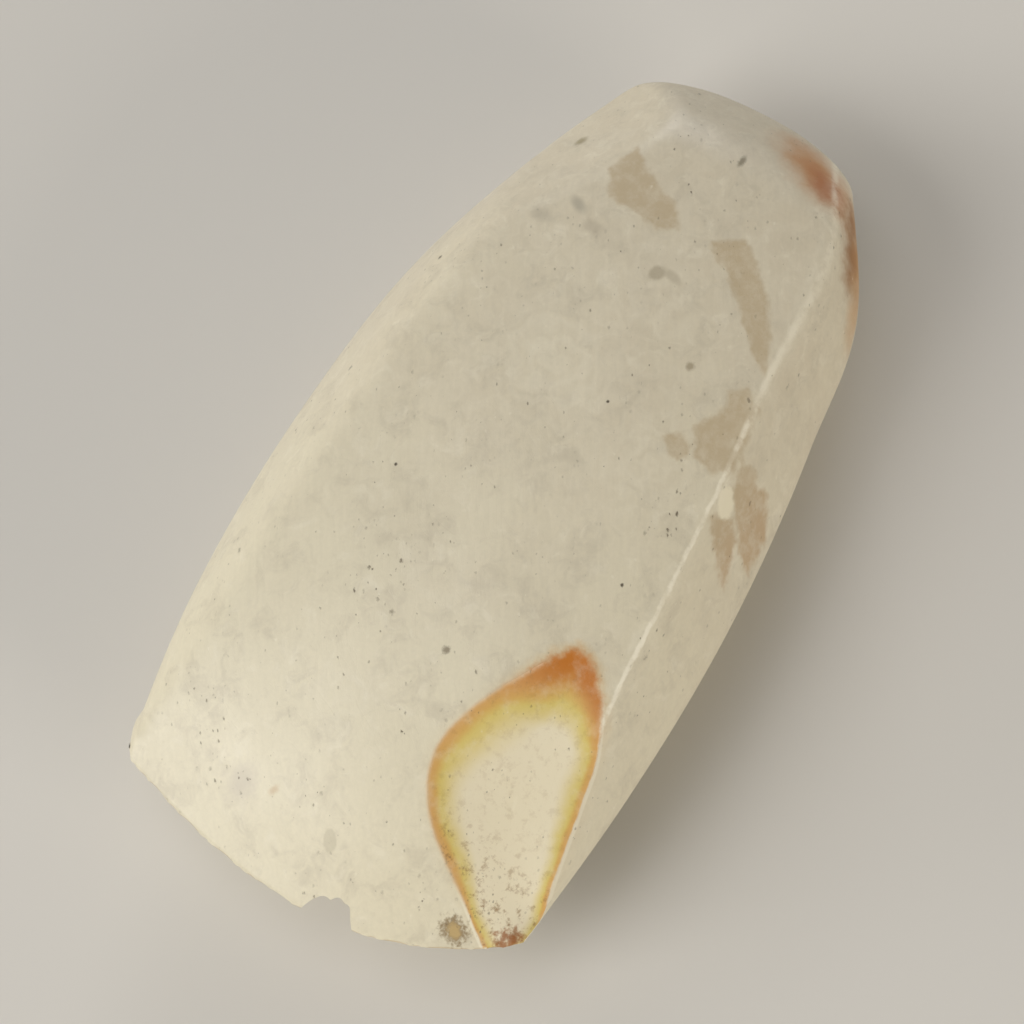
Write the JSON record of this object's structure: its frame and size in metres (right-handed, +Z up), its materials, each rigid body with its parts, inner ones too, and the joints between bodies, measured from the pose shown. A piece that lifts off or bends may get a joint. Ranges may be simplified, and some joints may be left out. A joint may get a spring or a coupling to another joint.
{
  "type": "polished stone axe head",
  "caption": "Small polished flint axe head with a blunt butt, bevelled sides and a chipped, curved cutting edge; lies on one broad face.",
  "frame": {"origin": "on the ground under the middle of the axe head's box, as it lies on one broad face", "axes": "+X along the axe head towards its cutting edge, +Y towards the side with the crisp arris, +Z up through its thickness"},
  "size_m": [0.126, 0.0656, 0.0326],
  "materials": {
    "patinated_flint": "ground and polished flint with a white-cream patina, satin sheen, fine specks, and orange iron stain round the rim of one scar and on the butt"
  },
  "bodies": {
    "root": {"axe_head": "patinated_flint"}
  },
  "joints": []
}
